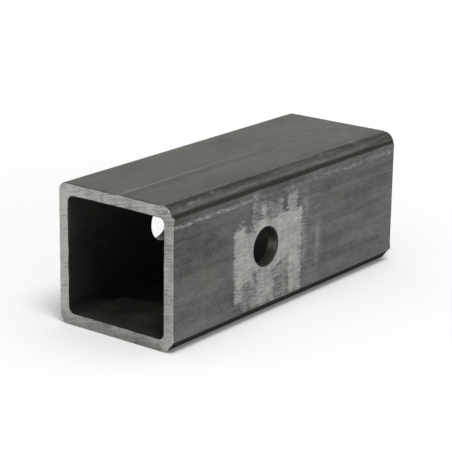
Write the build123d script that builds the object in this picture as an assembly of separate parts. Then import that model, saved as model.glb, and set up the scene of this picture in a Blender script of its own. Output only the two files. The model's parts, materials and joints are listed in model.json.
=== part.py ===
from build123d import *
import os

# Hitch reducer sleeve: one length of cold-formed square steel tube, sawn to length, cross-drilled
# for a hitch pin and left bare. All sizes are in millimetres.
# The origin is where the pin axis crosses the centreline of the tube: +X runs along the pin,
# +Y along the tube away from its mouth, and +Z up.

# Driving dimensions
OUTSIDE = 63.5  # square over all, for a 2-1/2 in receiver
WALL = 5.56  # 7/32 in, which leaves a socket of 2-1/16 in for a 2 in shank
LENGTH = 165.1  # 6-1/2 in
PIN_HOLE = 17.46  # 11/16 in, for a 5/8 in hitch pin
PIN_SETBACK = 63.5  # from the mouth to the pin axis, 2-1/2 in

# Rolled section: the right-hand corners are slanting flats, and each ends in a low ridge on the side wall
FACET_INSET = 4.55  # upper right corner: from the side to where its flat meets the top face
FACET_RADIUS = 2.8  # round between that flat and the top face
NECK_INSET = 1.5  # where that flat stops, just short of the ridge
NECK_DROP = 3.9
RIDGE_DROP = 4.6  # from the top face to the upper ridge
HEEL_INSET = 4.6  # lower right corner: from the side to where its flat meets the bottom face
HEEL_RISE = 5.8  # from the bottom face to the lower ridge
HEEL_RADIUS = 3.0  # round between that flat and the bottom face
RIDGE_LAND = 0.6  # flat crest of a ridge
RIDGE_RADIUS = 0.5
HOLLOW = 0.3  # how far the right wall lies behind its ridges
SHOULDER = 2.6  # height of the slope from a ridge to the wall
SHOULDER_RADIUS = 20.0
TOP_LEFT_RADIUS = 4.0  # the left-hand corners are plain rounds
BOTTOM_LEFT_RADIUS = 5.0
SOCKET_RADIUS = 2.8  # inner corners

# Broken edges
END_BREAK = 0.4  # outer edges of the two sawn ends
SOCKET_BREAK = 0.3  # inner edges of the two sawn ends
HOLE_BREAK = 0.45  # outer rims of the pin hole

HALF = OUTSIDE / 2
SOCKET_HALF = HALF - WALL
RIGHT_WALL = HALF - HOLLOW
MOUTH_Y = -PIN_SETBACK


def outline():
    # The outside of the section, from the upper left corner round by the right.
    top_left = Vector(-HALF, HALF)
    brow = Vector(HALF - FACET_INSET, HALF)
    neck = Vector(HALF - NECK_INSET, HALF - NECK_DROP)
    upper_crest = Vector(HALF, HALF - RIDGE_DROP)
    upper_land = Vector(HALF, upper_crest.Y - RIDGE_LAND)
    upper_slope = Vector(RIGHT_WALL, upper_land.Y - SHOULDER)
    lower_crest = Vector(HALF, HEEL_RISE - HALF)
    lower_land = Vector(HALF, lower_crest.Y + RIDGE_LAND)
    lower_slope = Vector(RIGHT_WALL, lower_land.Y + SHOULDER)
    heel = Vector(HALF - HEEL_INSET, -HALF)
    bottom_left = Vector(-HALF, -HALF)
    upper_right = (brow, neck, upper_crest, upper_land, upper_slope)
    lower_right = (lower_slope, lower_land, lower_crest, heel)
    face = make_face(Polyline(top_left, *upper_right, *lower_right, bottom_left, close=True))
    rounds = (
        (top_left, TOP_LEFT_RADIUS),
        (brow, FACET_RADIUS),
        (upper_crest, RIDGE_RADIUS),
        (upper_land, RIDGE_RADIUS),
        (upper_slope, SHOULDER_RADIUS),
        (lower_slope, SHOULDER_RADIUS),
        (lower_land, RIDGE_RADIUS),
        (lower_crest, RIDGE_RADIUS),
        (heel, HEEL_RADIUS),
        (bottom_left, BOTTOM_LEFT_RADIUS),
    )
    for point, radius in rounds:
        vertex = face.vertices().sort_by_distance(point)[0]
        face = fillet(vertex, radius)
    return face


def tube_section():
    return outline() - RectangleRounded(2 * SOCKET_HALF, 2 * SOCKET_HALF, SOCKET_RADIUS)


def sawn_tube():
    # Sketch X and Y become X and Z, and the tube runs from its mouth towards +Y.
    mouth = Plane(origin=(0, MOUTH_Y, 0), x_dir=(1, 0, 0), z_dir=(0, -1, 0))
    return extrude(mouth * tube_section(), amount=-LENGTH)


def break_ends(tube):
    for face in (tube.faces().sort_by(Axis.Y)[0], tube.faces().sort_by(Axis.Y)[-1]):
        tube = chamfer(face.outer_wire().edges(), END_BREAK)
    for face in (tube.faces().sort_by(Axis.Y)[0], tube.faces().sort_by(Axis.Y)[-1]):
        tube = chamfer(face.inner_wires().edges(), SOCKET_BREAK)
    return tube


def pin_drill():
    # One straight drill through both side walls, flared where it breaks each outer rim.
    radius = PIN_HOLE / 2
    across = Plane.YZ
    drill = extrude(across * Circle(radius), amount=OUTSIDE, both=True)
    for way, wall in ((1, RIGHT_WALL), (-1, HALF)):
        rim = Plane(origin=(way * wall, 0, 0), z_dir=(way, 0, 0))
        flare = Cone(radius, radius + 2 * HOLE_BREAK, 2 * HOLE_BREAK)
        drill += rim * flare
    return drill


def reducer_sleeve():
    return break_ends(sawn_tube()) - pin_drill()


os.makedirs("parts", exist_ok=True)
export_step(reducer_sleeve(), "parts/reducer_sleeve.step")
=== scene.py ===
import json
import math

import bmesh
import bpy
from mathutils import Matrix, Vector, noise


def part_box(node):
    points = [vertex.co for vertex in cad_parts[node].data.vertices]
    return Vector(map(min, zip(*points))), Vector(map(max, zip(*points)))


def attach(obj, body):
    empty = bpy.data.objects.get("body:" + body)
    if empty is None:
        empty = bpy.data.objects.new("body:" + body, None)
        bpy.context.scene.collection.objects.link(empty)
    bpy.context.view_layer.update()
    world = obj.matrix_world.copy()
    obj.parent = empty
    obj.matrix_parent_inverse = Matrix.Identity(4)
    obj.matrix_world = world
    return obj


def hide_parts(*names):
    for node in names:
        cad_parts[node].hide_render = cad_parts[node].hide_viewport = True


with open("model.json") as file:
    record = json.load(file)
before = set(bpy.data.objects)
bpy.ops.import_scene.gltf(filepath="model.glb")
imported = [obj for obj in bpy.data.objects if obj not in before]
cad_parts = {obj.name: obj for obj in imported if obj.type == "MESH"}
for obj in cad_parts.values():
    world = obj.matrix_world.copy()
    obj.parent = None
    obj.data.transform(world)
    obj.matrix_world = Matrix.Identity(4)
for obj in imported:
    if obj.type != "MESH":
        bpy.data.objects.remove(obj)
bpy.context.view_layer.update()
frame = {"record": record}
mm = 0.001

sleeveLow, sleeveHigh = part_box("reducer_sleeve")
pinHole = next(m for m in frame["record"]["mounts"] if m["name"] == "pin_hole")

# the sleeve: one piece of rolled square tube, +Y along it, the pin along X
sleeve = {
    "half": sleeveHigh.z,
    "mouth": sleeveLow.y,
    "far": sleeveHigh.y,
    "holeRadius": pinHole["dims"]["r_mm"] * mm,
    "wall": 5.56 * mm,
    "facetInset": 4.55 * mm,  # upper right corner: where its slanting flat would meet the top face
    "facetRadius": 2.8 * mm,
    "neckInset": 1.5 * mm,  # where that flat stops short of the side ridge
    "neckDrop": 3.9 * mm,
    "ridgeDrop": 4.6 * mm,  # from the top face to the upper ridge
    "heelInset": 4.6 * mm,  # lower right corner: where its flat would meet the bottom face
    "heelRise": 5.8 * mm,  # from the bottom face to the lower ridge
    "heelRadius": 4.2 * mm,
    "ridgeLand": 0.6 * mm,
    "ridgeSoft": 0.25 * mm,
    "ridgeReach": 1.6 * mm,  # how far from a ridge the file was kept off
    "hollow": 0.3 * mm,  # how far the right wall lies behind its ridges
    "shoulder": 2.6 * mm,
    "topLeftRadius": 4.0 * mm,
    "bottomLeftRadius": 5.0 * mm,
    "socketRadius": 2.8 * mm,
    "holeBreak": 0.45 * mm,
    "socketBreaks": {"right": 0.15 * mm, "left": 0.45 * mm, "top": 0.45 * mm, "bottom": 0.3 * mm},
    # how far a file went over the edges of the sawn ends, by the flat or the corner
    "flatBreaks": {"right": 0.12 * mm, "left": 0.55 * mm, "top": 0.5 * mm, "bottom": 0.3 * mm},
    "cornerBreaks": {(1, 1): 0.55 * mm, (-1, 1): 0.55 * mm, (-1, -1): 0.5 * mm, (1, -1): 0.5 * mm},
    "ridgeBreak": 0.1,  # share of a break that is left on the ridges at the mouth
    "farBreak": 1.6 * mm,  # on the right-hand corners of the far end, where the ridges aren't spared
    "farRound": 5.2 * mm,  # the upper right corner fills out to a plain round at the far end
    "fillFrom": 72.0 * mm,
    "breakWander": 0.4,  # how unevenly the file cut
    "wanderSizes": (260, 900),  # waves and nicks to the metre
    "nickShare": 0.6,
    "endsApart": 3,  # so that the two ends aren't alike
    "socketWander": ((150, 0.5), (600, 0.25)),  # inside: waves to the metre, and how strong
    "cornerReach": 6.0 * mm,  # how far a corner's break runs on to the flats
    "cornerGain": 4,  # how soon it is full there
    "socketGain": 12,  # how soon the break of one inner side takes over from the next
    "cutOut": 12.0 * mm,  # half the square round the pin hole that its rim is joined to
    "pitch": 1.2 * mm,  # size of the mesh's faces
    "roundSteps": 10,
    "ridgeSteps": 3,
    "socketSteps": 6,
    "breakSteps": 3,
    "boreSteps": 5,
    "tolerance": 0.02 * mm,
    "sharpFrom": math.radians(22),  # a steeper edge isn't shaded smooth
    "waves": 0.03 * mm,  # how far the rolled flats wander, slowly and quickly
    "slowWave": (70, 16, 70),
    "quickWave": (240, 30, 240),
    "waveShift": (7, 3, 5),
    "waveShares": (0.7, 0.3),
}
sleeve["side"] = sleeve["half"] - sleeve["hollow"]
sleeve["socket"] = sleeve["half"] - sleeve["wall"]
sleeve["upperRidge"] = sleeve["half"] - sleeve["ridgeDrop"] - sleeve["ridgeLand"] / 2
sleeve["lowerRidge"] = sleeve["heelRise"] + sleeve["ridgeLand"] / 2 - sleeve["half"]
# where the top face and the walls start, and where they are full
sleeve["topFace"] = (sleeve["half"] - 0.75 * mm, sleeve["half"] - 0.25 * mm)
sleeve["wallFace"] = (sleeve["side"] - 0.45 * mm, sleeve["side"] - 0.15 * mm)
finishIndex = {"skin": 0, "sawn": 1, "socket": 2, "bore": 3}


def vertsOf(geom):
    return [g for g in geom if isinstance(g, bmesh.types.BMVert)]


def edgesOf(geom):
    return [g for g in geom if isinstance(g, bmesh.types.BMEdge)]


def facesOf(geom):
    return [g for g in geom if isinstance(g, bmesh.types.BMFace)]


def liesAt(edge, y):
    return all(abs(v.co.y - y) < sleeve["tolerance"] for v in edge.verts)


def walkRound(bm, stops):
    # a closed wire in the plane of the mouth, drawn on from stop to stop
    here = first = bm.verts.new()
    trail = {}
    for name, (x, z) in stops.items():
        if trail:
            here = bmesh.ops.extrude_vert_indiv(bm, verts=[here])["verts"][0]
        here.co = (x, sleeve["mouth"], z)
        trail[name] = here
    bm.edges.new((here, first))
    return trail


def soften(bm, vert, offset, steps):
    bmesh.ops.bevel(
        bm, geom=[vert], offset=offset, offset_type="OFFSET", segments=steps, profile=0.5,
        affect="VERTICES", material=-1
    )


def cutToPitch(bm):
    # only what is well over a pitch is cut, and a hair over a whole number makes no extra cut
    for edge in [e for e in bm.edges if e.calc_length() > 1.5 * sleeve["pitch"]]:
        cuts = math.ceil(edge.calc_length() / sleeve["pitch"] - 0.01) - 1
        bmesh.ops.subdivide_edges(bm, edges=[edge], cuts=cuts)


def tangentLength(radius, rise, inset):
    # how far from its point a round of that radius starts, between a level face and a slanting flat
    return radius * math.tan(math.atan2(rise, inset) / 2)


def outerSection():
    s = sleeve
    bm = bmesh.new()
    half, side, cut = s["half"], s["side"], s["cutOut"]
    crest = half - s["ridgeDrop"]
    tip = s["heelRise"] - half
    trail = walkRound(bm, {
        "brow": (half - s["facetInset"], half),
        "neck": (half - s["neckInset"], half - s["neckDrop"]),
        "upperCrest": (half, crest),
        "upperLand": (half, crest - s["ridgeLand"]),
        "upperSlope": (side, crest - s["ridgeLand"] - s["shoulder"]),
        "rightCutTop": (side, cut),
        "rightCutFoot": (side, -cut),
        "lowerSlope": (side, tip + s["ridgeLand"] + s["shoulder"]),
        "lowerLand": (half, tip + s["ridgeLand"]),
        "lowerCrest": (half, tip),
        "heel": (half - s["heelInset"], -half),
        "bottomLeft": (-half, -half),
        "leftCutFoot": (-half, -cut),
        "leftCutTop": (-half, cut),
        "topLeft": (-half, half),
    })
    steps = s["roundSteps"]
    browRun = s["facetInset"] - s["neckInset"]
    soften(bm, trail["brow"], tangentLength(s["facetRadius"], s["neckDrop"], browRun), steps)
    for ridge in ("upperCrest", "upperLand", "lowerLand", "lowerCrest"):
        soften(bm, trail[ridge], s["ridgeSoft"], s["ridgeSteps"])
    soften(bm, trail["heel"], tangentLength(s["heelRadius"], s["heelRise"], s["heelInset"]), steps)
    soften(bm, trail["bottomLeft"], s["bottomLeftRadius"], steps)
    soften(bm, trail["topLeft"], s["topLeftRadius"], steps)
    cutToPitch(bm)
    return bm


def socketSection():
    s = sleeve
    bm = bmesh.new()
    out, cut = s["socket"], s["cutOut"]
    trail = walkRound(bm, {
        "topRight": (out, out),
        "rightCutTop": (out, cut),
        "rightCutFoot": (out, -cut),
        "bottomRight": (out, -out),
        "bottomLeft": (-out, -out),
        "leftCutFoot": (-out, -cut),
        "leftCutTop": (-out, cut),
        "topLeft": (-out, out),
    })
    for corner in ("topRight", "bottomRight", "bottomLeft", "topLeft"):
        soften(bm, trail[corner], s["socketRadius"], s["socketSteps"])
    cutToPitch(bm)
    return bm


def lengthStops():
    # slices along the tube, one of them on either edge of the cut-out
    s = sleeve
    runs = [(s["mouth"], -s["cutOut"]), (-s["cutOut"], s["cutOut"]), (s["cutOut"], s["far"])]
    stops = []
    for low, high in runs:
        count = round((high - low) / s["pitch"])
        stops += [low + (high - low) * (i + 1) / count for i in range(count)]
    return stops


def drawOut(bm, finish):
    # pulls a section along +Y and gives every new face a finish
    ring = mouthRing = bm.edges[:]
    here = sleeve["mouth"]
    for stop in lengthStops():
        drawn = bmesh.ops.extrude_edge_only(bm, edges=ring)["geom"]
        bmesh.ops.translate(bm, verts=vertsOf(drawn), vec=(0, stop - here, 0))
        ring = [e for e in edgesOf(drawn) if liesAt(e, stop)]
        here = stop
    for face in bm.faces:
        face.material_index = finish
    return mouthRing, ring


def fillFarCorner(bm):
    s = sleeve
    centre = s["half"] - s["farRound"]
    for v in bm.verts:
        spoke = Vector((v.co.x - centre, 0, v.co.z - centre))
        if v.co.y < s["fillFrom"] or min(spoke.x, spoke.z) < 0 or spoke.length > s["farRound"]:
            continue
        share = (v.co.y - s["fillFrom"]) / (s["far"] - s["fillFrom"])
        share = share * share * (3 - 2 * share)
        v.co += spoke.normalized() * (s["farRound"] - spoke.length) * share


def inwards(co, core):
    # the way from a point of the section into the metal, square to its outline
    away = Vector((max(abs(co.x) - core, 0), 0, max(abs(co.z) - core, 0))).normalized()
    return Vector((-math.copysign(away.x, co.x), 0, -math.copysign(away.z, co.z)))


def nearRidge(co):
    # 1 on either ridge of the right wall at the mouth, and less with the distance
    if co.x < 0 or co.y > 0:
        return 0
    ridge = sleeve["upperRidge"] if co.z > 0 else sleeve["lowerRidge"]
    return math.exp(-((co.z - ridge) / sleeve["ridgeReach"]) ** 2)


def breakWidth(co):
    # a light break along the flats, a wider one round the corners, hardly any on the ridges
    s = sleeve
    across, up = (max(abs(c) - s["half"] + s["cornerReach"], 0) / s["cornerReach"] for c in (co.x, co.z))
    onSide = across > up
    flat = ("right" if co.x > 0 else "left") if onSide else ("top" if co.z > 0 else "bottom")
    atFlat = s["flatBreaks"][flat]
    atCorner = s["cornerBreaks"][(1 if co.x > 0 else -1, 1 if co.z > 0 else -1)]
    if co.x > 0 and co.y > 0:
        atCorner = s["farBreak"]
    width = atFlat + (atCorner - atFlat) * min(1, s["cornerGain"] * across * up)
    width *= 1 - (1 - s["ridgeBreak"]) * nearRidge(co)
    waves, nicks = s["wanderSizes"]
    wander = noise.noise(Vector((co.x, co.y * s["endsApart"], co.z)) * waves)
    wander += s["nickShare"] * noise.noise(co * nicks)
    return width * (1 + s["breakWander"] * wander)


def socketBreakWidth(co):
    s = sleeve
    ways = {"right": co.x, "left": -co.x, "top": co.z, "bottom": -co.z}
    shares = {flat: max(way / s["socket"], 0) ** s["socketGain"] for flat, way in ways.items()}
    width = sum(s["socketBreaks"][flat] * share for flat, share in shares.items()) / sum(shares.values())
    return width * (1 + sum(share * noise.noise(co * size) for size, share in s["socketWander"]))


def edgeFinish(co):
    # the right wall keeps its skin up to the saw cut, and so do its far corners: the other edges are filed
    s = sleeve
    onWall = co.x > s["side"] - mm and s["lowerRidge"] - mm < co.z < s["upperRidge"] + mm
    onFarCorner = co.y > 0 and co.x > s["socket"]
    return finishIndex["skin"] if onWall or onFarCorner else finishIndex["sawn"]


def breakEnd(bm, ring, end, core, widthOf, sign, finishOf):
    # rounds the edge of a sawn end in strips, each grown from the last
    toInside = 1 if end == sleeve["mouth"] else -1
    start = {v: (v.co.copy(), widthOf(v.co)) for v in {v for e in ring for v in e.verts}}
    for v, (_, width) in start.items():
        v.co.y = end + toInside * width
    track = {v: v for v in start}  # from a vertex of the newest strip to the one it grew from
    for step in range(sleeve["breakSteps"]):
        turn = math.pi / 2 * (step + 1) / sleeve["breakSteps"]
        grown = bmesh.ops.extrude_edge_only(bm, edges=ring)["geom"]
        lookUp = {}
        for v in vertsOf(grown):
            old = next(e.other_vert(v) for e in v.link_edges if e.other_vert(v) in track)
            lookUp[v] = track[old]
        track = lookUp
        for v, first in track.items():
            co, width = start[first]
            v.co = co + inwards(co, core) * sign * width * (1 - math.cos(turn))
            v.co.y = end + toInside * width * (1 - math.sin(turn))
        for face in facesOf(grown):
            face.material_index = finishOf(face.calc_center_median())
        ring = [e for e in edgesOf(grown) if all(v in track for v in e.verts)]


def bridgeFlat(bm, outer, inner, step, finish):
    # joins two rings that lie in one plane: the inner one steps out of it meanwhile, so that the
    # bridge can tell which way round they run
    moved = list({v for e in inner for v in e.verts})
    bmesh.ops.translate(bm, verts=moved, vec=step)
    for face in bmesh.ops.bridge_loops(bm, edges=outer + inner)["faces"]:
        face.material_index = finish
    bmesh.ops.translate(bm, verts=moved, vec=-step)


def closeEnd(bm, end):
    s = sleeve
    rings = [e for e in bm.edges if e.is_boundary and liesAt(e, end)]
    middle = s["half"] - s["wall"] / 2
    inner = [e for e in rings if all(max(abs(v.co.x), abs(v.co.z)) < middle for v in e.verts)]
    outer = [e for e in rings if e not in set(inner)]
    bridgeFlat(bm, outer, inner, Vector((0, math.copysign(s["wall"], end), 0)), finishIndex["sawn"])


def cutOutRing(bm, test):
    # opens a square in a wall and returns the edges round it
    faces = [f for f in bm.faces if test(f.calc_center_median())]
    around = dict.fromkeys(e for f in faces for e in f.edges)
    taken = set(faces)
    rim = [e for e in around if any(f not in taken for f in e.link_faces)]
    bmesh.ops.delete(bm, geom=faces, context="FACES")
    return [e for e in rim if e.is_valid]


def drillWall(bm, way, outerCut, socketCut):
    # one pin hole: rim joined to the outer skin, a broken edge, the bore, and the inner skin
    s = sleeve
    radius = s["holeRadius"]
    wallAt = s["side"] if way > 0 else s["half"]
    place = Matrix.Translation((way * wallAt, 0, 0)) @ Matrix.Rotation(math.pi / 2, 4, "Y")
    count = len(outerCut)
    rim = bmesh.ops.create_circle(
        bm, cap_ends=False, segments=count, radius=radius + s["holeBreak"], matrix=place
    )["verts"]
    ring = list(dict.fromkeys(e for v in rim for e in v.link_edges))
    step = Vector((way * s["wall"], 0, 0))
    bridgeFlat(bm, outerCut, ring, step, finishIndex["skin"])
    rimAt = wallAt - s["holeBreak"]
    steps = s["boreSteps"]
    depths = [rimAt + (s["socket"] - rimAt) * i / steps for i in range(steps + 1)]
    wide = radius + s["holeBreak"]
    for depth in depths:
        grown = bmesh.ops.extrude_edge_only(bm, edges=ring)["geom"]
        verts = vertsOf(grown)
        bmesh.ops.scale(bm, vec=(1, radius / wide, radius / wide), verts=verts)
        for v in verts:
            v.co.x = way * depth
        for face in facesOf(grown):
            face.material_index = finishIndex["bore"]
        ring = [e for e in edgesOf(grown) if all(v in set(verts) for v in e.verts)]
        wide = radius
    bridgeFlat(bm, socketCut, ring, step, finishIndex["socket"])


def waveSkin(bm):
    # rolled flats are never quite flat: they wander inwards by hundredths of a millimetre
    s = sleeve
    slowShare, quickShare = s["waveShares"]
    for v in {v for f in bm.faces if f.material_index == finishIndex["skin"] for v in f.verts}:
        slow = noise.noise(v.co * Vector(s["slowWave"]))
        quick = noise.noise(v.co * Vector(s["quickWave"]) + Vector(s["waveShift"]))
        v.co -= v.normal * s["waves"] * (1 + slowShare * slow + quickShare * quick)


def joinInto(bm, other):
    mesh = bpy.data.meshes.new("scratch")
    other.to_mesh(mesh)
    other.free()
    bm.from_mesh(mesh)
    bpy.data.meshes.remove(mesh)


def buildSleeve():
    s = sleeve
    core = s["half"] - s["cornerReach"]
    socketCore = s["socket"] - s["socketRadius"]
    bm = outerSection()
    mouthRing, farRing = drawOut(bm, finishIndex["skin"])
    fillFarCorner(bm)
    for end, ring in ((s["mouth"], mouthRing), (s["far"], farRing)):
        breakEnd(bm, ring, end, core, breakWidth, 1, edgeFinish)
    inner = socketSection()
    innerMouth, innerFar = drawOut(inner, finishIndex["socket"])
    for end, ring in ((s["mouth"], innerMouth), (s["far"], innerFar)):
        breakEnd(inner, ring, end, socketCore, socketBreakWidth, -1, lambda co: finishIndex["socket"])
    joinInto(bm, inner)
    print("skins drawn", len(bm.faces))

    cut = s["cutOut"]
    for way in (1, -1):
        def onPatch(co, lowest, highest):
            return abs(co.y) < cut and abs(co.z) < cut and lowest < way * co.x < highest
        outerCut = cutOutRing(bm, lambda co: onPatch(co, s["side"] - mm, s["half"] + mm))
        socketCut = cutOutRing(bm, lambda co: onPatch(co, s["socket"] - mm, s["socket"] + mm))
        drillWall(bm, way, outerCut, socketCut)
    for end in (s["mouth"], s["far"]):
        closeEnd(bm, end)
    bmesh.ops.recalc_face_normals(bm, faces=bm.faces[:])
    bm.normal_update()
    waveSkin(bm)
    bm.normal_update()
    for edge in bm.edges:
        edge.smooth = edge.calc_face_angle(0) < s["sharpFrom"]
    for face in bm.faces:
        face.smooth = True
    loose = [e for e in bm.edges if len(e.link_faces) != 2]
    print("sleeve closed", len(bm.faces), "faces", len(loose), "open edges")
    mesh = bpy.data.meshes.new("steelSleeve")
    bm.to_mesh(mesh)
    bm.free()
    piece = bpy.data.objects.new("steelSleeve", mesh)
    bpy.context.scene.collection.objects.link(piece)
    return piece


class Wire:
    # one socket of a node tree, with plain maths on it
    def __init__(self, tree, socket=None):
        self.tree = tree
        self.socket = socket

    def add(self, kind, settings=None, sockets=None, out=0):
        node = self.tree.nodes.new("ShaderNode" + kind)
        for name, value in (settings or {}).items():
            setattr(node, name, value)
        for name, value in (sockets or {}).items():
            plug(node, name, value)
        return Wire(self.tree, node.outputs[out])

    def maths(self, operation, first, second=0.0):
        return self.add("Math", {"operation": operation}, {0: first, 1: second})

    def __add__(self, other):
        return self.maths("ADD", self, other)

    def __radd__(self, other):
        return self.maths("ADD", other, self)

    def __sub__(self, other):
        return self.maths("SUBTRACT", self, other)

    def __rsub__(self, other):
        return self.maths("SUBTRACT", other, self)

    def __mul__(self, other):
        return self.maths("MULTIPLY", self, other)

    def __rmul__(self, other):
        return self.maths("MULTIPLY", other, self)

    def __abs__(self):
        return self.maths("ABSOLUTE", self)

    def largest(self, other):
        return self.maths("MAXIMUM", self, other)

    def sign(self):
        return self.maths("SIGN", self)

    def fade(self, low, high):
        # 0 at low, 1 at high, smooth between
        return self.add("MapRange", {"interpolation_type": "SMOOTHSTEP"}, {
            "Value": self, "From Min": low, "From Max": high, "To Min": 0.0, "To Max": 1.0
        })

    def band(self, low, high, soft):
        return self.fade(low - soft, low + soft) * self.fade(high + soft, high - soft)

    def split(self):
        node = self.add("SeparateXYZ", None, {0: self}).socket.node
        return [Wire(self.tree, o) for o in node.outputs]

    def grain(self, across, along, detail, rough=0.55, shift=(0, 0, 0), up=None):
        # noise about nought, drawn out along the tube: its sizes are in features to the metre
        sizes = (across, along, across if up is None else up)
        stretched = self.add("Mapping", None, {"Vector": self, "Location": shift, "Scale": sizes})
        return self.add("TexNoise", None, {
            "Vector": stretched, "Scale": 1.0, "Detail": detail, "Roughness": rough
        }) - 0.5

    def blend(self, first, second):
        # this value picks between two colours: 6, 7 and 2 are the node's colour sockets
        return self.add("Mix", {"data_type": "RGBA"}, {"Factor": self, 6: first, 7: second}, 2)


def newFinish(name):
    finish = bpy.data.materials.new(name)
    finish.use_nodes = True
    return finish, Wire(finish.node_tree), finish.node_tree.nodes["Principled BSDF"]


def plug(node, name, value):
    if isinstance(value, Wire):
        value.tree.links.new(value.socket, node.inputs[name])
    else:
        node.inputs[name].default_value = value


def grainsOf(at, noises):
    return {name: at.grain(*values) for name, values in noises.items()}


def weigh(grains, shares):
    # named noises added up by their shares
    return sum(share * grains[name] for name, share in shares.items())


def grey(level, yellow):
    # a linear grey: the more yellow, the less blue
    return (level * (0.96 + 0.5 * yellow), level, level * (1 - yellow), 1)


# the rolled skin. Noises: features to the metre across and along the tube, detail, roughness, shift,
# and features up it where they differ. Places: from and to, and how soft where the ends fade alike.
skin = {
    "coolDark": grey(0.052, 0.03),
    "coolLight": grey(0.160, 0.03),
    "warmDark": (0.0535, 0.052, 0.037, 1),
    "warmLight": (0.164, 0.160, 0.112, 1),
    "tone": 0.48,  # between dark and light
    "noises": {  # from wide to narrow
        "cloud": (55, 22, 2, 0.5, (4, 2, 9)),
        "wide": (45, 5, 2, 0.5, (3, 6, 2)),
        "bands": (150, 3, 2, 0.5, (8, 3, 1)),
        "streak": (800, 14, 3, 0.55),
        "mottle": (330, 130, 4, 0.6, (2, 7, 5)),
        "grit": (1300, 500, 2, 0.5, (6, 1, 3)),
    },
    "shares": {"cloud": 0.9, "wide": 0.5, "bands": 0.7, "streak": 0.3, "mottle": 0.7, "grit": 0.5},
    "wallUneven": 0.6,  # how much more uneven the walls are
    "warmth": 0.04,
    "upperWarmth": 0.75,  # of the top face
    "browWarmth": 0.55,  # the share of that on the upper right corner
    "warmFrom": (27.0 * mm, 28.5 * mm),
    "warmNoise": (70, 30, 2, 0.5, (1, 9, 4)),
    "warmSwing": 0.7,
    "rough": (0.34, 0.5),
    "roughSwing": 1.5,
    "metal": 0.85,
    "relief": {"streak": 0.15, "mottle": 0.5, "grit": 0.4},
    "bump": {"Strength": 0.2, "Distance": 0.06 * mm},
}

# painted shade: tone that the top face loses, more of it right of the seam; painted light: tone that parts
# of the walls are given
shade = {
    "top": 0.08,
    "rightOf": (1.0 * mm, 3.0 * mm),
    "right": (0.07, 0.08),  # all along, and more towards the mouth
    "rightRun": (40.0 * mm, -20.0 * mm),
    "strip": (2.4 * mm, 7.0 * mm, 1.0 * mm),
    "stripTone": 0.2,
    "stripRun": (90.0 * mm, 10.0 * mm),
    "stripNoise": (120, 30, 2, 0.5, (9, 9, 1)),
    "stripSwing": 5.0 * mm,
    "paintedLightPatches": [
        {"tone": 0.12, "along": (30.0 * mm, 60.0 * mm), "up": [(18.0 * mm, 8.0 * mm)]},
        {"tone": 0.07, "along": (0, -30.0 * mm), "up": [(-5.0 * mm, -18.0 * mm)]},
        {
            "tone": 0.34, "along": (60.0 * mm, 20.0 * mm),
            "up": [(13.5 * mm, 18.5 * mm), (24.5 * mm, 19.5 * mm)],
        },
    ],
}


# painted shade on the top face and painted light on parts of the walls, as one loss of tone
def paintLightAndShade(at, x, y, z, top, wall):
    strip = (x + at.grain(*shade["stripNoise"]) * shade["stripSwing"]).band(*shade["strip"])
    always, nearMouth = shade["right"]
    right = x.fade(*shade["rightOf"]) * (always + nearMouth * y.fade(*shade["rightRun"]))
    paintedShadeAndLight = top * (shade["top"] + right + strip * y.fade(*shade["stripRun"]) * shade["stripTone"])
    # painted light: patches of the walls made lighter
    for part in shade["paintedLightPatches"]:
        litPatch = part["tone"] * y.fade(*part["along"])
        for ends in part["up"]:
            litPatch = litPatch * z.fade(*ends)
        paintedShadeAndLight = paintedShadeAndLight - wall * litPatch
    return paintedShadeAndLight


def skinColour(at, z, top, wall, paintedShadeAndLight, grains):
    # the tone, less the painted shade and plus the painted light
    tone = skin["tone"] + weigh(grains, skin["shares"]) * (1 + skin["wallUneven"] * wall) - paintedShadeAndLight
    onBrow = skin["browWarmth"]
    upper = skin["upperWarmth"] * z.fade(*skin["warmFrom"]) * (onBrow + (1 - onBrow) * top)
    warmth = skin["warmth"] + upper + skin["warmSwing"] * at.grain(*skin["warmNoise"])
    cool = tone.blend(skin["coolDark"], skin["coolLight"])
    warm = tone.blend(skin["warmDark"], skin["warmLight"])
    return warmth.blend(cool, warm)


# the weld seam along the top, planed flush, plainest near the mouth
seam = {
    "tone": grey(0.3, 0.06),
    "place": (1.0 * mm, 2.2 * mm, 0.7 * mm),
    "strength": (0.2, 0.36),  # all along, and more towards the mouth
    "run": (50.0 * mm, -50.0 * mm),
    "wander": 0.8 * mm,
    "wanderNoise": (60, 25, 2),
    "broken": 2.5,
    "brokenNoise": (500, 60, 3, 0.6, (5, 5, 2)),
}


def seamMask(at, x, y, top):
    line = (x + at.grain(*seam["wanderNoise"]) * seam["wander"]).band(*seam["place"])
    always, nearMouth = seam["strength"]
    strength = always + nearMouth * y.fade(*seam["run"])
    return top * line * strength * (1 + seam["broken"] * at.grain(*seam["brokenNoise"]))


# painted shade: a dark matt coat, brown-black like oxide, in the crease above the upper ridge and all over
# the two lower corners
paintedShade = {
    "tone": grey(0.025, 0.2),
    "fray": 0.9 * mm,
    "frayNoise": (500, 90, 3, 0.6, (2, 2, 9)),
    "crease": (26.7 * mm, 28.3 * mm, 0.35 * mm),
    "creaseFrom": (29.6 * mm, 30.4 * mm),
    "creaseCover": 0.8,
    "lower": (-26.4 * mm, -27.0 * mm),
    "lowerFrom": (24.0 * mm, 27.0 * mm),
    "lowerCover": 0.9,
}


# where the painted shade lies: the crease and the lower corners
def paintedShadeMask(at, x, z):
    height = z + at.grain(*paintedShade["frayNoise"]) * paintedShade["fray"]
    crease = height.band(*paintedShade["crease"]) * x.fade(*paintedShade["creaseFrom"])
    lower = height.fade(*paintedShade["lower"]) * abs(x).fade(*paintedShade["lowerFrom"])
    return (paintedShade["creaseCover"] * crease).largest(paintedShade["lowerCover"] * lower)


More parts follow.
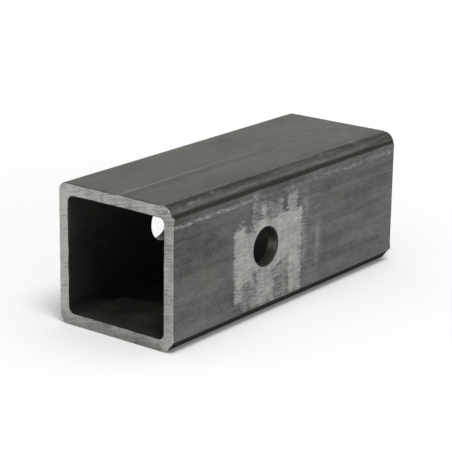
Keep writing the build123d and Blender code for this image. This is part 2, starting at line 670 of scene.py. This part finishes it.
def coverWithPaintedShade(finish, shader, w, mask):
    # painted shade: a matt coat over the skin, which no low light catches
    shadeCoat = w.add("BsdfDiffuse", None, {"Color": paintedShade["tone"]})
    steel = Wire(w.tree, shader.outputs[0])
    both = w.add("MixShader", None, {0: mask, 1: steel, 2: shadeCoat})
    end = next(n for n in finish.node_tree.nodes if n.bl_idname == "ShaderNodeOutputMaterial")
    w.tree.links.new(both.socket, end.inputs["Surface"])


# the upper right corner, which keeps its scale on the round, deepened as painted shade, and is polished by
# rubbing along the flat, lightened as painted light
brow = {
    "scaleTone": grey(0.035, 0.12),
    "from": (27.6 * mm, 28.4 * mm),
    "drift": 1.5 * mm,
    "driftNoise": (90, 20, 2, 0.5, (6, 4, 2)),
    "scale": (25.7 * mm, 28.3 * mm, 0.5 * mm),
    "scaleCover": 0.2,
    "scaleGap": (0, 40.0 * mm, 18.0 * mm),  # along the tube
    "scaleSwing": 0.9,
    "scaleNoise": (90, 16, 3, 0.6, (3, 9, 4)),
    "flat": (28.8 * mm, 29.7 * mm, 0.5 * mm),
    "flatCover": (0.14, 0.3),  # all along, and more in dashes
    "dashes": (-0.12, 0.16),
    "dashNoise": (900, 130, 4, 0.65, (8, 6, 1)),
    "flecked": (24.8 * mm, 29.4 * mm, 0.9 * mm),
    "fleckNoise": (1300, 520, 3, 0.65, (2, 8, 7)),
    "paleFlecks": (0.09, 0.18),
    "paleCover": 0.5,
    "darkFlecks": (-0.08, -0.18),
    "darkCover": 0.7,
    "wornAndLit": (25.6 * mm, 28.6 * mm, 0.6 * mm),
    "wornRun": (2.0 * mm, 42.0 * mm, 9.0 * mm),
    "wornCover": (0.22, 0.9),  # even, and uneven
    "wornNoise": (260, 40, 3, 0.6, (4, 4, 4)),
    "spotted": (25.4 * mm, 29.6 * mm, 0.8 * mm),
    "spots": (0.02, 0.3),
    "spotCover": 0.7,
    "spotNoise": (340, 90, 3, 0.6, (5, 2, 4)),
}


def browScaleShadeAndLight(at, x, y, z):
    # the scale with painted shade, and what rubbing has cleaned, with painted light
    upper = z.fade(*brow["from"])
    place = x + at.grain(*brow["driftNoise"]) * brow["drift"]
    patchy = brow["scaleCover"] * (1 - y.band(*brow["scaleGap"]))
    patchy = patchy + brow["scaleSwing"] * at.grain(*brow["scaleNoise"])
    # the band of scale on the round, deepened as painted shade
    scale = place.band(*brow["scale"]) * patchy
    even, dashed = brow["flatCover"]
    # painted light: a lighter band along the flat, with dashes of rubbing
    flat = place.band(*brow["flat"]) * (even + dashed * at.grain(*brow["dashNoise"]).fade(*brow["dashes"]))
    flecks = at.grain(*brow["fleckNoise"])
    flecked = place.band(*brow["flecked"])
    pale = brow["paleCover"] * flecked * flecks.fade(*brow["paleFlecks"])
    dark = brow["darkCover"] * flecked * flecks.fade(*brow["darkFlecks"])
    even, uneven = brow["wornCover"]
    # painted light: a lighter middle of the corner, unevenly polished
    wornAndLit = x.band(*brow["wornAndLit"]) * y.band(*brow["wornRun"]) * (even + uneven * at.grain(*brow["wornNoise"]))
    spots = at.grain(*brow["spotNoise"]).fade(*brow["spots"])
    wornAndLit = wornAndLit.largest(brow["spotCover"] * x.band(*brow["spotted"]) * spots)
    return upper * scale.largest(dark), upper * flat.largest(pale).largest(wornAndLit)


# where the walls have been dragged along something: one line, and scuffs beside it
rub = {
    "tone": grey(0.36, 0.05),
    "line": 22.9 * mm,
    "drift": 1.2 * mm,
    "driftNoise": (30, 14, 2, 0.5, (3, 3, 3)),
    "thick": (0.65 * mm, 0.3 * mm),  # all along, and more beyond the pin hole
    "thickRun": (0, 40.0 * mm),
    "soft": (-0.5 * mm, 0.7 * mm),
    "strength": 0.28,
    "nearStrength": 0.6,
    "nearRun": (0, -30.0 * mm),
    "farStrength": 0.14,
    "farRun": (30.0 * mm, 45.0 * mm),
    "blotches": (-0.06, 0.12),
    "blotchNoise": (700, 230, 4, 0.7, (3, 1, 7)),
    "unblotched": 0.15,
    "scuffs": (0.1, 0.2),
    "scuffNoise": (1500, 240, 3, 0.6, (9, 2, 6)),
    "scuffCover": 0.3,
    "upperScuffs": (21.5 * mm, 26.6 * mm, 1.2 * mm),
    "lowerScuffs": (-26.4 * mm, -20.0 * mm, 2.5 * mm),
    "lowerShare": 0.8,
}


def rubMask(at, y, z, wall):
    even, more = rub["thick"]
    thick = even + y.fade(*rub["thickRun"]) * more
    off = abs(z + at.grain(*rub["driftNoise"]) * rub["drift"] - rub["line"])
    line = 1 - (off - thick).fade(*rub["soft"])
    strength = rub["strength"] + rub["nearStrength"] * y.fade(*rub["nearRun"])
    strength = strength + rub["farStrength"] * y.fade(*rub["farRun"])
    blotch = at.grain(*rub["blotchNoise"]).fade(*rub["blotches"])
    line = line * strength * (rub["unblotched"] + (1 - rub["unblotched"]) * blotch)
    scuffs = rub["scuffCover"] * at.grain(*rub["scuffNoise"]).fade(*rub["scuffs"])
    edges = z.band(*rub["upperScuffs"]) + rub["lowerShare"] * z.band(*rub["lowerScuffs"])
    return wall * line.largest(edges * scuffs)


# the belt that ground through the skin round the pin hole
belt = {
    "dark": grey(0.22, 0.05),
    "light": grey(0.47, 0.045),
    "rough": 0.44,
    "cover": 0.95,
    # each stroke in millimetres: along the tube from and to, up the wall from and to, how hard
    "strokes": [
        (-22.9, -14.8, -9.0, 13.0, 0.94),
        (-22.4, -15.6, -21.0, -7.0, 0.8),
        (-16.5, -9.0, -14.0, 10.0, 0.86),
        (-17.0, -5.5, -26.0, -12.0, 0.5),
        (-10.4, -4.7, 5.0, 26.6, 0.42),
        (-5.0, 13.0, 6.0, 21.0, 0.46),
        (-9.0, 14.0, -11.0, 13.0, 0.92),
        (-6.6, 5.9, -26.5, -8.0, 0.74),
        (13.0, 26.8, -8.5, 12.0, 0.98),
        (15.5, 23.6, 6.0, 22.0, 0.62),
        (16.8, 26.6, -26.0, 9.0, 0.84),
        (23.0, 29.6, -9.0, 11.0, 0.44),
        (5.5, 17.0, -26.0, -8.0, 0.46),
        (9.0, 17.0, -14.0, -6.0, 0.62),
        (-6.0, 26.0, -26.6, -24.8, 0.6),
        (28.0, 42.0, 24.6, 26.4, 0.45),
    ],
    # strokes that only brushed the skin
    "brushes": [
        (24.0, 43.0, -26.0, 20.0, 0.1),
        (27.0, 31.4, -13.0, 22.0, 0.28),
        (33.0, 35.0, -20.0, 12.0, 0.12),
        (37.6, 40.4, -25.0, 8.0, 0.24),
    ],
    "softAlong": 1.2 * mm,
    "softUp": 2.8 * mm,
    "comb": 6.5 * mm,  # how far the skin's streaks tear the ends of a stroke
    "combNoise": (1100, 190, 3, 0.6, (1, 5, 2)),
    "tear": 9.0 * mm,  # and its top and foot
    "tearNoise": (520, 210, 4, 0.65, (7, 2, 2)),
    "noises": {
        "dashes": (1300, 230, 4, 0.65, (4, 4, 8)),
        "smears": (300, 420, 3, 0.6, (2, 8, 1), 30),
        "patches": (160, 160, 2, 0.5, (5, 1, 8)),
        "breaks": (300, 120, 3, 0.6, (9, 3, 3), 160),
        "glow": (130, 110, 2, 0.5, (2, 3, 1)),
    },
    "strokeShares": {"dashes": 1.1, "smears": 0.5, "patches": 0.5},
    "through": (0.1, 0.95),
    "pressed": (0.0, 0.3),
    "brushComb": 0.4,  # a brush is torn less, and its edges are softer
    "brushSoftAlong": 1.6,
    "brushSoftUp": 2.0,
    "brushCover": 0.9,
    "brushShares": {"breaks": 3.2, "smears": 1.0, "dashes": 2.6},
    "shine": 0.5,  # between dark and light
    "shineShares": {"smears": 0.6, "dashes": 1.0, "mottle": 0.8, "grit": 0.5, "glow": 0.9},
    "relief": {"dashes": 0.5, "smears": 0.3},
}


def groundMask(at, x, y, z, wall, grains):
    run = y * x.sign()  # along the tube, the same way round on either wall
    torn = run + at.grain(*belt["combNoise"]) * belt["comb"]
    rise = z + at.grain(*belt["tearNoise"]) * belt["tear"]
    pressure = brushed = 0.0
    for low, high, foot, crown, bite in belt["strokes"]:
        along = torn.band(low * mm, high * mm, belt["softAlong"])
        up = rise.band(foot * mm, crown * mm, belt["softUp"])
        pressure = (along * up * bite).largest(pressure)
    ground = (pressure + weigh(grains, belt["strokeShares"])).fade(*belt["through"])
    ground = ground * pressure.fade(*belt["pressed"])
    halfTorn = run + belt["brushComb"] * (torn - run)
    for low, high, foot, crown, bite in belt["brushes"]:
        along = halfTorn.band(low * mm, high * mm, belt["brushSoftAlong"] * belt["softAlong"])
        up = z.band(foot * mm, crown * mm, belt["brushSoftUp"] * belt["softUp"])
        brushed = brushed + along * up * bite
    brushed = brushed * (belt["brushCover"] + weigh(grains, belt["brushShares"]))
    return wall * ground.largest(brushed)


def rolledSkin():
    finish, w, shader = newFinish("rolledSkin")
    at = w.add("TexCoord", out="Object")
    x, y, z = at.split()
    top = z.fade(*sleeve["topFace"])
    wall = abs(x).fade(*sleeve["wallFace"])
    grains = grainsOf(at, {**skin["noises"], **belt["noises"]})
    colour = skinColour(at, z, top, wall, paintLightAndShade(at, x, y, z, top, wall), grains)
    colour = seamMask(at, x, y, top).blend(colour, seam["tone"])
    colour = rubMask(at, y, z, wall).blend(colour, rub["tone"])
    # scale with painted shade on the round, and polish with painted light along the flat
    scale, bareAndLit = browScaleShadeAndLight(at, x, y, z)
    colour = scale.blend(colour, brow["scaleTone"])
    colour = bareAndLit.blend(colour, rub["tone"])
    ground = groundMask(at, x, y, z, wall, grains)
    shine = belt["shine"] + weigh(grains, belt["shineShares"])
    colour = (belt["cover"] * ground).blend(colour, shine.blend(belt["dark"], belt["light"]))

    low, high = skin["rough"]
    rough = low + (high - low) * (0.5 + skin["roughSwing"] * grains["mottle"])
    rough = rough + ground * (belt["rough"] - rough)
    height = weigh(grains, skin["relief"]) + ground * weigh(grains, belt["relief"])
    plug(shader, "Base Color", colour)
    plug(shader, "Roughness", rough)
    plug(shader, "Metallic", skin["metal"])
    plug(shader, "Normal", w.add("Bump", None, {**skin["bump"], "Height": height}))
    # painted shade over the crease and the lower corners
    coverWithPaintedShade(finish, shader, w, paintedShadeMask(at, x, z))
    return finish


# the sawn ends and their broken edges
sawn = {
    "dark": grey(0.12, 0.08),
    "light": grey(0.43, 0.06),
    "tone": 0.68,
    "slant": math.radians(12),  # of the saw's lines
    "lineNoise": (70, 300, 3, 0.75, (0, 0, 0), 1700),
    "noises": {
        "cloud": (170, 170, 3, 0.55),
        "grit": (1100, 1100, 3, 0.6, (2, 6, 1)),
        "holes": (520, 520, 2, 0.5, (7, 1, 4)),
    },
    "shares": {"lines": 2.5, "cloud": 1.2, "grit": 1.3},
    "keen": (5.0 * mm, -30.0 * mm),  # brighter to the left
    "keenTone": 0.2,
    "highlightSide": [(30.0 * mm, 31.4 * mm), (-15.0 * mm, -22.0 * mm)],  # a painted highlight along the edge, low on the right
    "heelSlope": (0.78, 0.62),  # and along the heel
    "highlightHeel": (39.4 * mm, 40.5 * mm),
    "highlightTone": 0.3,
    "right": (24.0 * mm, 27.0 * mm),  # the right limb is paler below than above
    "rightRun": (12.0 * mm, -24.0 * mm),
    "rightMiddle": 0.45,
    "rightTone": 0.16,
    # darker towards the bottom, less so on the right, with fainter saw lines there
    "darkerBelow": (-20.0 * mm, -sleeve["half"]),
    "darkerUpTo": (20.0 * mm, 28.0 * mm),
    "darkerGone": 0.8,
    "darkerTone": 0.4,
    "darkerLines": 0.6,
    "pit": grey(0.05, 0.1),
    "pitCover": 0.8,
    "smallPits": (0.14, 0.21),
    "largePits": (0.2, 0.25),
    "filed": grey(0.4, 0.06),
    "filedFrom": (0.02 * mm, 0.08 * mm),  # behind the plane of the cut
    "filedCover": (0.6, 1.5),  # even, and by the grit
    "filedRough": 0.24,
    "burnt": grey(0.12, 0.2),  # along the top edge
    "burntFrom": (30.8 * mm, 31.2 * mm),
    "burntUpTo": (25.0 * mm, 22.0 * mm),
    "rough": (0.38, 0.5),
    "metal": 0.9,
    "relief": {"lines": 1.0, "grit": 0.4, "pits": -0.8},
    "bump": {"Strength": 0.35, "Distance": 0.05 * mm},
}


def sawnSteel():
    finish, w, shader = newFinish("sawnSteel")
    at = w.add("TexCoord", out="Object")
    x, y, z = at.split()
    grains = grainsOf(at, sawn["noises"])
    # darker towards the bottom, less so on the right
    darkerLow = z.fade(*sawn["darkerBelow"]) * (1 - sawn["darkerGone"] * x.fade(*sawn["darkerUpTo"]))
    turned = w.add("VectorRotate", {"rotation_type": "Y_AXIS"}, {"Vector": at, "Angle": sawn["slant"]})
    grains["lines"] = turned.grain(*sawn["lineNoise"]) * (1 - sawn["darkerLines"] * darkerLow)
    pits = grains["grit"].fade(*sawn["smallPits"]).largest(grains["holes"].fade(*sawn["largePits"]))
    grains["pits"] = pits
    # painted highlight: a bright line low on the right edge and along the heel
    inFrom, below = sawn["highlightSide"]
    over, down = sawn["heelSlope"]
    paintedHighlight = (x.fade(*inFrom) * z.fade(*below)).largest((over * x - down * z).fade(*sawn["highlightHeel"]))
    right = x.fade(*sawn["right"]) * (z.fade(*sawn["rightRun"]) - sawn["rightMiddle"])
    tone = sawn["tone"] + weigh(grains, sawn["shares"]) + sawn["keenTone"] * x.fade(*sawn["keen"])
    tone = tone + sawn["highlightTone"] * paintedHighlight + sawn["rightTone"] * right - sawn["darkerTone"] * darkerLow
    colour = tone.blend(sawn["dark"], sawn["light"])
    colour = (pits * sawn["pitCover"]).blend(colour, sawn["pit"])
    start, full = sawn["filedFrom"]
    filed = y.fade(sleeve["mouth"] + start, sleeve["mouth"] + full)
    filed = filed * y.fade(sleeve["far"] - start, sleeve["far"] - full)
    even, gritty = sawn["filedCover"]
    colour = (filed * (even + gritty * grains["grit"])).blend(colour, sawn["filed"])
    burnt = filed * z.fade(*sawn["burntFrom"]) * x.fade(*sawn["burntUpTo"])
    colour = burnt.blend(colour, sawn["burnt"])
    low, high = sawn["rough"]
    rough = low + (high - low) * (0.5 + grains["cloud"])
    rough = rough + (filed - burnt) * (sawn["filedRough"] - rough)
    plug(shader, "Base Color", colour)
    plug(shader, "Roughness", rough)
    plug(shader, "Metallic", sawn["metal"])
    plug(shader, "Normal", w.add("Bump", None, {**sawn["bump"], "Height": weigh(grains, sawn["relief"])}))
    return finish


# the inside of the tube, dark with scale, and made darker still as painted shade
inside = {
    "dark": grey(0.012, 0.12),
    "light": grey(0.034, 0.14),
    "tone": 0.5,
    "noises": {"streak": (700, 10, 4, 0.6, (5, 5, 5)), "mottle": (350, 260, 4, 0.6)},
    "shares": {"streak": 0.5, "mottle": 0.9},
    # painted shade: darker into the corners
    "corners": (46.0 * mm, 51.0 * mm),
    "cornerTone": 0.5,
    "left": (-22.0 * mm, -25.0 * mm),  # painted light: the left wall pales upwards
    "leftRise": (2.0 * mm, 24.0 * mm),
    "leftTone": 1.1,
    "leftLoss": 0.25,
    "floor": grey(0.1, 0.14),  # painted light: lighter near the mouth, less so on the left
    "floorBelow": (-25.0 * mm, -26.0 * mm),
    "floorStarts": (7.0 * mm, 28.0 * mm),
    "floorEnds": (37.0 * mm, 28.0 * mm),
    "floorNoise": (60, 60, 2, 0.5, (2, 4, 4)),
    "floorSwing": 30.0 * mm,
    "floorSlope": 3.8,
    "floorLeft": 12.0 * mm,
    "floorSoft": (-6.0 * mm, 6.0 * mm),
    "floorCover": (0.85, 0.9),  # even, and by the mottle
    "far": grey(0.1, 0.15),
    "farRun": (25.0 * mm, 65.0 * mm),
    "rough": 0.68,
    "specular": 0.12,
    "bump": {"Strength": 0.3, "Distance": 0.05 * mm},
}


def socketSkin():
    finish, w, shader = newFinish("socketSkin")
    at = w.add("TexCoord", out="Object")
    x, y, z = at.split()
    grains = grainsOf(at, inside["noises"])
    tone = inside["tone"] + weigh(grains, inside["shares"])
    # painted shade: darker into the corners
    tone = tone - inside["cornerTone"] * (abs(x) + abs(z)).fade(*inside["corners"])
    # painted light: the upper left wall is lighter, the lower darker
    rise = inside["leftTone"] * z.fade(*inside["leftRise"]) - inside["leftLoss"]
    tone = tone + x.fade(*inside["left"]) * rise
    colour = tone.blend(inside["dark"], inside["light"])
    # painted light: a pool of light on the floor near the mouth
    depth = y - sleeve["mouth"] + inside["floorSwing"] * at.grain(*inside["floorNoise"])
    litFloor = z.fade(*inside["floorBelow"]) * depth.fade(*inside["floorStarts"])
    litFloor = litFloor * depth.fade(*inside["floorEnds"])
    slope = inside["floorSlope"] * (x + sleeve["socket"]) + inside["floorLeft"]
    litFloor = litFloor * (slope - depth).fade(*inside["floorSoft"])
    even, uneven = inside["floorCover"]
    colour = (litFloor * (even + uneven * grains["mottle"])).blend(colour, inside["floor"])
    plug(shader, "Base Color", y.fade(*inside["farRun"]).blend(colour, inside["far"]))
    plug(shader, "Roughness", inside["rough"])
    plug(shader, "Specular IOR Level", inside["specular"])
    plug(shader, "Normal", w.add("Bump", None, {**inside["bump"], "Height": grains["mottle"]}))
    return finish


# the drilled bore, and its broken rim
bore = {
    "dark": grey(0.07, 0.1),
    "light": grey(0.2, 0.1),
    "tone": 0.5,
    "ringNoise": (1900, 90, 3, 0.6, (0, 0, 0), 90),
    "ringSwing": 1.5,
    "rim": grey(0.05, 0.08),
    "rimFrom": (0.5 * mm, 0.3 * mm),  # behind the wall
    "rough": 0.42,
    "metal": 0.9,
    "bump": {"Strength": 0.4, "Distance": 0.05 * mm},
}


def drilledSteel():
    finish, w, shader = newFinish("drilledSteel")
    at = w.add("TexCoord", out="Object")
    x = at.split()[0]
    rings = at.grain(*bore["ringNoise"])
    start, full = bore["rimFrom"]
    rim = abs(x).fade(sleeve["side"] - start, sleeve["side"] - full)
    colour = (bore["tone"] + bore["ringSwing"] * rings).blend(bore["dark"], bore["light"])
    plug(shader, "Base Color", rim.blend(colour, bore["rim"]))
    plug(shader, "Roughness", bore["rough"])
    plug(shader, "Metallic", bore["metal"])
    plug(shader, "Normal", w.add("Bump", None, {**bore["bump"], "Height": rings}))
    return finish


steelSleeve = buildSleeve()
for finish in (rolledSkin(), sawnSteel(), socketSkin(), drilledSteel()):
    steelSleeve.data.materials.append(finish)
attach(steelSleeve, "root")
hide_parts("reducer_sleeve")
print("finishes on")

# the table top
table = {
    "size": 6.0,
    "colour": (0.8, 0.8, 0.8, 1),
    "rough": 0.9,
    "floorGlow": (0.1, 0.52),  # painted light: how much whiter a glow makes it look, at the sleeve and far from it
    "whitens": (0.07, 0.75),
}


def layFloor():
    bm = bmesh.new()
    bmesh.ops.create_grid(bm, x_segments=1, y_segments=1, size=table["size"])
    bmesh.ops.translate(bm, verts=bm.verts[:], vec=(0, 0, sleeveLow.z))
    mesh = bpy.data.meshes.new("whiteTable")
    bm.to_mesh(mesh)
    bm.free()
    floor = bpy.data.objects.new("whiteTable", mesh)
    bpy.context.scene.collection.objects.link(floor)
    finish, w, shader = newFinish("whiteTable")
    seen = w.add("LightPath", out="Is Camera Ray").largest(w.add("LightPath", out="Is Glossy Ray"))
    seen = seen.largest(w.add("LightPath", out="Is Transmission Ray"))
    plug(shader, "Base Color", table["colour"])
    plug(shader, "Roughness", table["rough"])
    plug(shader, "Specular IOR Level", 0.0)
    x, y = w.add("TexCoord", out="Object").split()[:2]
    near, far = table["whitens"]
    away = w.maths("SQRT", x * x + y * y).fade(near, far)
    low, high = table["floorGlow"]
    # painted light: the floor glows for camera, mirror and transmission rays
    plug(shader, "Emission Color", away.blend((low, low, low, 1), (high, high, high, 1)))
    plug(shader, "Emission Strength", seen)
    mesh.materials.append(finish)


layFloor()

# light: a pale room that darkens overhead, and soft boxes: the front one is only mirrored, and the top
# one only lights
room = {"horizon": 0.87, "overhead": 0.2, "edge": (0.35, 0.68), "ambient": 0.45}
lamps = [
    {"name": "keyBox", "place": (0.55, -0.35, 1.35), "size": 0.6, "power": 12.5},
    {"name": "frontBox", "place": (0.8, -0.96, 0.86), "size": 0.25, "power": 1.0, "lights": False},
    {"name": "topBox", "place": (0.15, 0.1, 1.6), "size": 1.4, "power": 6.3, "mirrored": False},
]


def lightRoom():
    world = bpy.data.worlds.new("paleRoom")
    world.use_nodes = True
    bpy.context.scene.world = world
    w = Wire(world.node_tree)
    height = w.add("TexCoord", out="Generated").split()[2]
    seen = w.add("LightPath", out="Is Camera Ray").largest(w.add("LightPath", out="Is Transmission Ray"))
    glossy = w.add("LightPath", out="Is Glossy Ray")
    low, high = room["edge"]
    sky = room["horizon"] + (room["overhead"] - room["horizon"]) * height.fade(low, high)
    level = seen + (1 - seen) * (glossy * sky + (1 - glossy) * room["ambient"])
    background = world.node_tree.nodes["Background"]
    plug(background, "Strength", level)
    plug(background, "Color", (1, 1, 1, 1))
    for lamp in lamps:
        light = bpy.data.lights.new(lamp["name"], "AREA")
        light.shape = "DISK"
        light.size = lamp["size"]
        light.energy = lamp["power"]
        box = bpy.data.objects.new(lamp["name"], light)
        box.location = lamp["place"]
        box.visible_glossy = lamp.get("mirrored", True)
        box.visible_diffuse = lamp.get("lights", True)
        box.rotation_euler = (-Vector(lamp["place"])).to_track_quat("-Z", "Y").to_euler()
        bpy.context.scene.collection.objects.link(box)


lightRoom()

# the camera, where the photograph was taken from
shot = {
    "azimuth": 37.3913, "elevation": 17.1334, "roll": 0.8516,  # degrees
    "distance": 779.669 * mm, "aim": (9.3535 * mm, 0, 4.8974 * mm),
    "lens": 140.6237, "sensor": 36.0, "clipStart": 0.01,
}


def setCamera():
    az, el, roll = (math.radians(shot[k]) for k in ("azimuth", "elevation", "roll"))
    back = Vector((math.sin(az) * math.cos(el), -math.cos(az) * math.cos(el), math.sin(el)))
    right = Vector((0, 0, 1)).cross(back).normalized()
    up = back.cross(right)
    level = Matrix((right, up, back)).transposed()
    camera = bpy.data.cameras.new("photoCamera")
    camera.lens = shot["lens"]
    camera.sensor_width = shot["sensor"]
    camera.clip_start = shot["clipStart"]
    view = bpy.data.objects.new("photoCamera", camera)
    turn = level @ Matrix.Rotation(roll, 3, "Z")
    view.matrix_world = Matrix.Translation(Vector(shot["aim"]) + back * shot["distance"]) @ turn.to_4x4()
    bpy.context.scene.collection.objects.link(view)
    bpy.context.scene.camera = view


setCamera()
bpy.context.scene.view_settings.view_transform = "Standard"
print("scene set")
